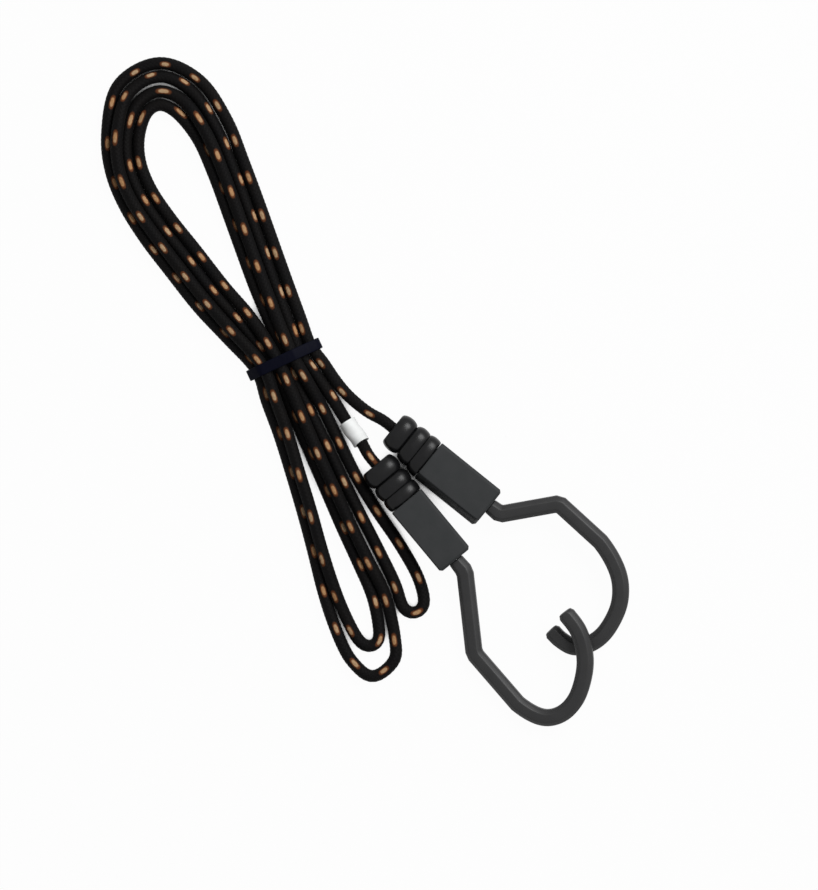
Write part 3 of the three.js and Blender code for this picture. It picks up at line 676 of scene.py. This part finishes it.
moulded = Finish("grip_plastic")
grip_cloud = moulded.grain(7 * mm, detail=3)
spark = moulded.grain(0.22 * mm, detail=3, roughness=0.7)
moulded.surface(
    base_color=moulded.blend(0.6 * grip_cloud + 0.4 * spark, (0.022, 0.025, 0.025, 1),
                             (0.042, 0.042, 0.044, 1)),
    roughness=0.52 + 0.2 * spark, specular_ior_level=0.07,
    normal=moulded.relief(spark, 0.035 * mm))
for side, end in ends.items():
    for half, upward in (("top", 1), ("bottom", -1)):
        fasten(f"grip_{half}_{side}",
               skin(f"grip_{half}_{side}", laid(end, shell_grid(upward, end["lean"])),
                    crease=35),
               moulded, "grip", "folded_cord", f"grip_shell_{half}_{side}")

# The two hooks: a steel wire in a thick satin coating, moulded as a bevelled bar. The bar leaves
# the grip on a short neck, bends out to a corner, and then runs straight and round into a bowl.
hooks = {
    "upper": {"side": 1, "neck": 5.8, "corner": [23.4, 20.5], "shoulder": [48.5, 18.9],
              "reach": 75.8, "turn": 27.2,
              "bowl_shares": [[0.826, 0.493], [0.917, 0.27], [0.975, -0.02], [1, -0.48],
                              [0.97, -0.77], [0.91, -0.955], [0.823, -1], [0.74, -0.975]]},
    "lower": {"side": -1, "neck": 6.6, "corner": [37.7, 20.8], "shoulder": [67.5, 20.2],
              "reach": 83.6, "turn": 23.3,
              "bowl_shares": [[0.955, 0.64], [1, 0.33], [0.988, -0.07], [0.905, -0.54],
                              [0.824, -0.79], [0.712, -0.97], [0.586, -1]]},
}
bar_width, bar_height, bar_bevel = 7.6 * mm, 6.8 * mm, 1.9 * mm
neck_width, tip_width, neck_gap = 7 * mm, 6.6 * mm, 0.08 * mm
bar_rounding, tip_rounding, bend_cut = 0.5 * mm, 0.9 * mm, 1.3 * mm
neck_rounding, tip_clear = 0.3 * mm, 1.5 * tip_rounding
bowl_steps = 12


def hook_path(hook):
    """The bar's middle line in its own flat plane, from the grip's end face: straight to the neck,
    the corner and the shoulder, with each sharp bend cut off once, then the spline of the bowl."""
    turned = np.array([1, hook["side"]]) * mm
    start, neck = np.array([neck_gap, 0]), np.array([hook["neck"], 0]) * mm
    corner, shoulder = hook["corner"] * turned, hook["shoulder"] * turned
    bowl = np.array(hook["bowl_shares"]) * [hook["reach"], hook["turn"]] * turned
    bowl = spline(np.vstack([corner, shoulder, bowl]), bowl_steps)[bowl_steps:]
    legs = []
    for before, bend, after in ((start, neck, corner), (neck, corner, shoulder)):
        legs += [bend + bend_cut * (point - bend) / np.linalg.norm(point - bend)
                 for point in (before, after)]
    return np.vstack([start, legs, bowl])


def bar_grid(path, width):
    """The bar as a ring at each place of its path, in the plane that halves the angle between the
    runs before and after it, and widened there by one over the cosine of that half angle."""
    leg = np.diff(path, axis=0)
    leg /= np.linalg.norm(leg, axis=1)[:, None]
    before, after = np.vstack([leg[:1], leg]), np.vstack([leg, leg[-1:]])
    run = before + after
    run /= np.linalg.norm(run, axis=1)[:, None]
    widen = 1 / np.einsum("ij,ij->i", run, after)
    rings = []
    for place, direction, wide, (full, inset) in zip(path, run, widen, width):
        section = bevelled(full / 2 - inset, bar_height / 2 - inset, bar_bevel, bar_rounding)
        across = np.array([-direction[1], direction[0]]) * wide
        rings.append(np.column_stack([place + section[:, :1] * across, section[:, 1]]))
    return np.array(rings)


coating = Finish("hook_coating")
coating_cloud = coating.grain(6 * mm, detail=4)
fine = coating.grain(0.3 * mm, detail=3, roughness=0.65)
coating.surface(
    base_color=coating.blend(coating_cloud, (0.012, 0.012, 0.0125, 1), (0.022, 0.022, 0.0225, 1)),
    roughness=0.36 + 0.22 * fine, specular_ior_level=0.28,
    normal=coating.relief(0.6 * fine + 0.4 * coating_cloud, 0.04 * mm))
for side, end in ends.items():
    line = hook_path(hooks[side])
    clear = np.linalg.norm(line - line[-1], axis=1) > tip_clear
    back = line[clear][-1] - line[-1]
    back *= tip_rounding / np.linalg.norm(back)
    line = np.vstack([line[:1], line[:1] + [neck_rounding, 0], line[clear][1:],
                      line[-1] + back, line[-1] + 0.3 * back, line[-1]])
    line[:, 0] += grip_length / 2
    width = np.full((len(line), 2), [bar_width, 0])
    width[:2] = [[neck_width, neck_rounding], [neck_width, 0]]
    width[-3:] = [[tip_width, 0], [tip_width, 0.3 * tip_rounding], [tip_width, tip_rounding]]
    fasten(f"hook_{side}_bar",
           skin(f"hook_{side}_bar", laid(end, bar_grid(line, width), end["roll"]),
                crease=28),
           coating, "coating", f"{side}_hook", f"hook_coating_{side}")

# Inside each grip: the gathered end of the cord, crimped in a steel ferrule, and the head of the
# hook's wire with the washer that it turns against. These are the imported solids, given a finish.
drawn_steel = Finish("drawn_steel")
drawing = drawn_steel.grain(0.4 * mm, detail=3)
drawn_steel.surface(base_color=(0.56, 0.57, 0.58, 1), metallic=1.0,
                    roughness=0.26 + 0.2 * drawing,
                    normal=drawn_steel.relief(drawing, 0.01 * mm))
cord_end = Finish("gathered_cord_end")
strands_of_end = cord_end.grain(0.5 * mm, detail=3)
cord_end.surface(base_color=cord_end.blend(strands_of_end, black_yarn, brown_black_yarn),
                 roughness=0.7 + 0.1 * strands_of_end,
                 normal=cord_end.relief(strands_of_end, 0.1 * mm))
for side in ends:
    for node, finish in (("cord_core", cord_end), ("crimp_ferrule", drawn_steel),
                         ("swivel_washer", drawn_steel), ("hook_wire", drawn_steel)):
        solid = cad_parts[f"{node}_{side}"].data
        solid.materials.clear()
        solid.materials.append(finish.material)

# The studio: a white table top under the cord, a soft lamp from the upper right and an even white
# room. The table shows white. Where ambient occlusion finds it hemmed in, between close strands
# and beside tall parts, its glow is cut and its colour darkens towards grey: painted shade.
table_size = 6
shade_reach, shade_dark, shade_light = 9 * mm, 0.1, 0.35
# The dark grey that is painted into the table where it lies hemmed in: painted shade.
painted_shade_grey, table_grey = (0.01, 0.01, 0.01, 1), (0.45, 0.45, 0.45, 1)
glow_share = 0.97
table = bpy.data.objects.new("table_top", bpy.data.meshes.new("table_top"))
edge = table_size / 2
table.data.from_pydata([(-edge, -edge, 0), (edge, -edge, 0), (edge, edge, 0), (-edge, edge, 0)],
                       [], [(0, 1, 2, 3)])
bpy.context.scene.collection.objects.link(table)
paper = Finish("white_table")
seen = paper.add("ShaderNodeLightPath")
shown = seen + seen.other("Is Glossy Ray") + seen.other("Is Transmission Ray")
shown = shown.math("MINIMUM", 1)
glow = paper.add("ShaderNodeEmission", sockets={"Color": (1, 1, 1, 1), "Strength": 1})
# Painted shade: the table's glow and colour fall off with ambient occlusion, so narrow gaps
# between strands and beside tall parts show dark.
open_sky = paper.add("ShaderNodeAmbientOcclusion", {"samples": 16}, {"Distance": shade_reach},
                     output="AO")
open_table = paper.step(open_sky, shade_dark, shade_light)
matt = paper.add("ShaderNodeBsdfDiffuse", sockets={
    "Color": paper.blend(open_table, painted_shade_grey, table_grey)})
paper.add("ShaderNodeOutputMaterial", sockets={"Surface": paper.add(
    "ShaderNodeMixShader", sockets={0: shown * open_table * glow_share, 1: matt, 2: glow})})
table.data.materials.append(paper.material)

room_light = 0.32
room = bpy.data.worlds.new("room")
room.use_nodes = True
air = room.node_tree.nodes["Background"]
air.inputs["Color"].default_value = (1, 1, 1, 1)
ray = room.node_tree.nodes.new("ShaderNodeLightPath")
strength = air.inputs["Strength"]
for output in ("Is Camera Ray", "Is Glossy Ray", "Is Transmission Ray"):
    brighter = room.node_tree.nodes.new("ShaderNodeMath")
    brighter.operation = "MAXIMUM"
    brighter.inputs[1].default_value = room_light
    room.node_tree.links.new(ray.outputs[output], brighter.inputs[0])
    room.node_tree.links.new(brighter.outputs[0], strength)
    strength = brighter.inputs[1]
bpy.context.scene.world = room

lamp_power, lamp_size = 30, 0.9
lamp_place, lamp_aim = (0.75, 0.75, 1.2), (-0.02, 0.02, 0)
soft_box = bpy.data.lights.new("soft_box", "AREA")
soft_box.energy, soft_box.size = lamp_power, lamp_size
lamp = bpy.data.objects.new("soft_box", soft_box)
lamp.location = lamp_place
beam = Vector(lamp_aim) - lamp.location
lamp.rotation_euler = beam.to_track_quat("-Z", "Y").to_euler()
bpy.context.scene.collection.objects.link(lamp)

scene = bpy.context.scene
scene.view_settings.view_transform = "Standard"
